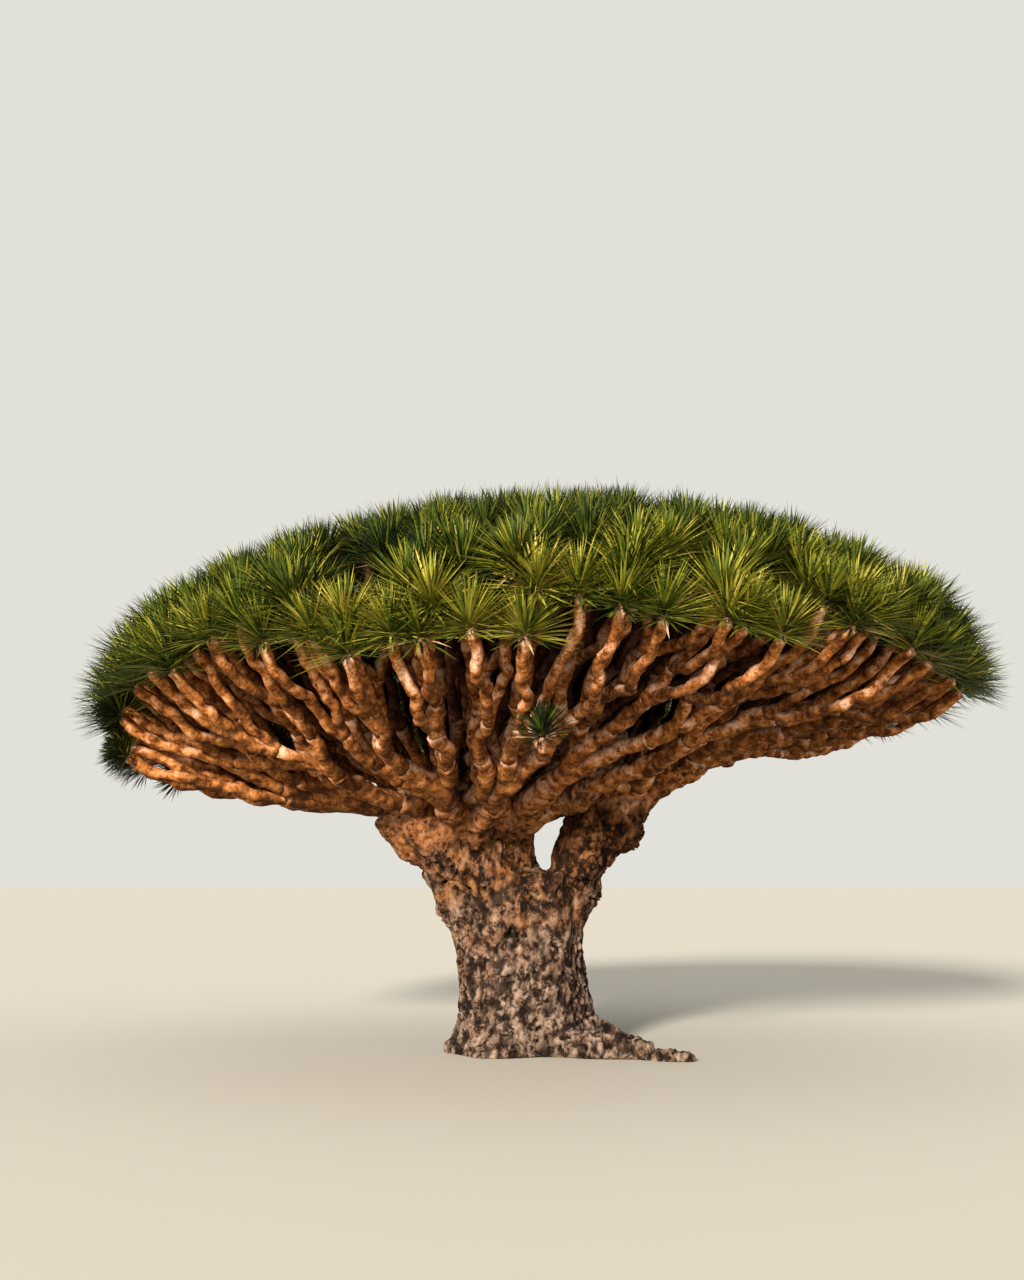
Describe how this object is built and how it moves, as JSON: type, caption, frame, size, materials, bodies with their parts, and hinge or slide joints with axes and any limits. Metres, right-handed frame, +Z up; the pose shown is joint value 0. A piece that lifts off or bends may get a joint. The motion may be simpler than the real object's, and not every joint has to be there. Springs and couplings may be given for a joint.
{
  "type": "dragon blood tree",
  "caption": "Umbrella-shaped tree: a fat trunk forks low into two stems, boughs spread wide, and forking twigs carry a dome of sword-leaved rosettes.",
  "frame": {"origin": "on the ground, in the flat cut under the trunk, near the middle of its foot", "axes": "+Z up, +X to the right as the picture shows the tree, +Y away from the camera"},
  "size_m": [8.1234, 8.2071, 4.8307],
  "materials": {
    "trunk_bark": "rough grey bark with pits and ridges",
    "limb_bark": "matt orange-brown bark with leaf-scar rings",
    "foliage": "satin green sword leaves"
  },
  "bodies": {
    "root": {"trunk": "trunk_bark", "left_stem": "trunk_bark", "right_stem": "trunk_bark", "crossing_bough": "limb_bark", "outer_bough_1": "limb_bark", "outer_limb_1a": "limb_bark", "outer_limb_1b": "limb_bark", "outer_bough_2": "limb_bark", "outer_limb_2a": "limb_bark", "outer_limb_2b": "limb_bark", "outer_bough_3": "limb_bark", "outer_limb_3a": "limb_bark", "outer_limb_3b": "limb_bark", "outer_bough_4": "limb_bark", "outer_limb_4a": "limb_bark", "outer_limb_4b": "limb_bark", "outer_bough_5": "limb_bark", "outer_limb_5a": "limb_bark", "outer_limb_5b": "limb_bark", "outer_bough_6": "limb_bark", "outer_limb_6a": "limb_bark", "outer_limb_6b": "limb_bark", "outer_bough_7": "limb_bark", "outer_limb_7a": "limb_bark", "outer_limb_7b": "limb_bark", "inner_bough_1": "limb_bark", "inner_limb_1a": "limb_bark", "inner_limb_1b": "limb_bark", "inner_bough_2": "limb_bark", "inner_limb_2a": "limb_bark", "inner_limb_2b": "limb_bark", "inner_bough_3": "limb_bark", "inner_limb_3a": "limb_bark", "inner_limb_3b": "limb_bark", "middle_bough": "limb_bark", "outer_foliage_1a": "foliage", "outer_foliage_1b": "foliage", "outer_foliage_2a": "foliage", "outer_foliage_2b": "foliage", "outer_foliage_3a": "foliage", "outer_foliage_3b": "foliage", "outer_foliage_4a": "foliage", "outer_foliage_4b": "foliage", "outer_foliage_5a": "foliage", "outer_foliage_5b": "foliage", "outer_foliage_6a": "foliage", "outer_foliage_6b": "foliage", "outer_foliage_7a": "foliage", "outer_foliage_7b": "foliage", "inner_foliage_1a": "foliage", "inner_foliage_1b": "foliage", "inner_foliage_2a": "foliage", "inner_foliage_2b": "foliage", "inner_foliage_3a": "foliage", "inner_foliage_3b": "foliage", "middle_foliage": "foliage"}
  },
  "joints": []
}
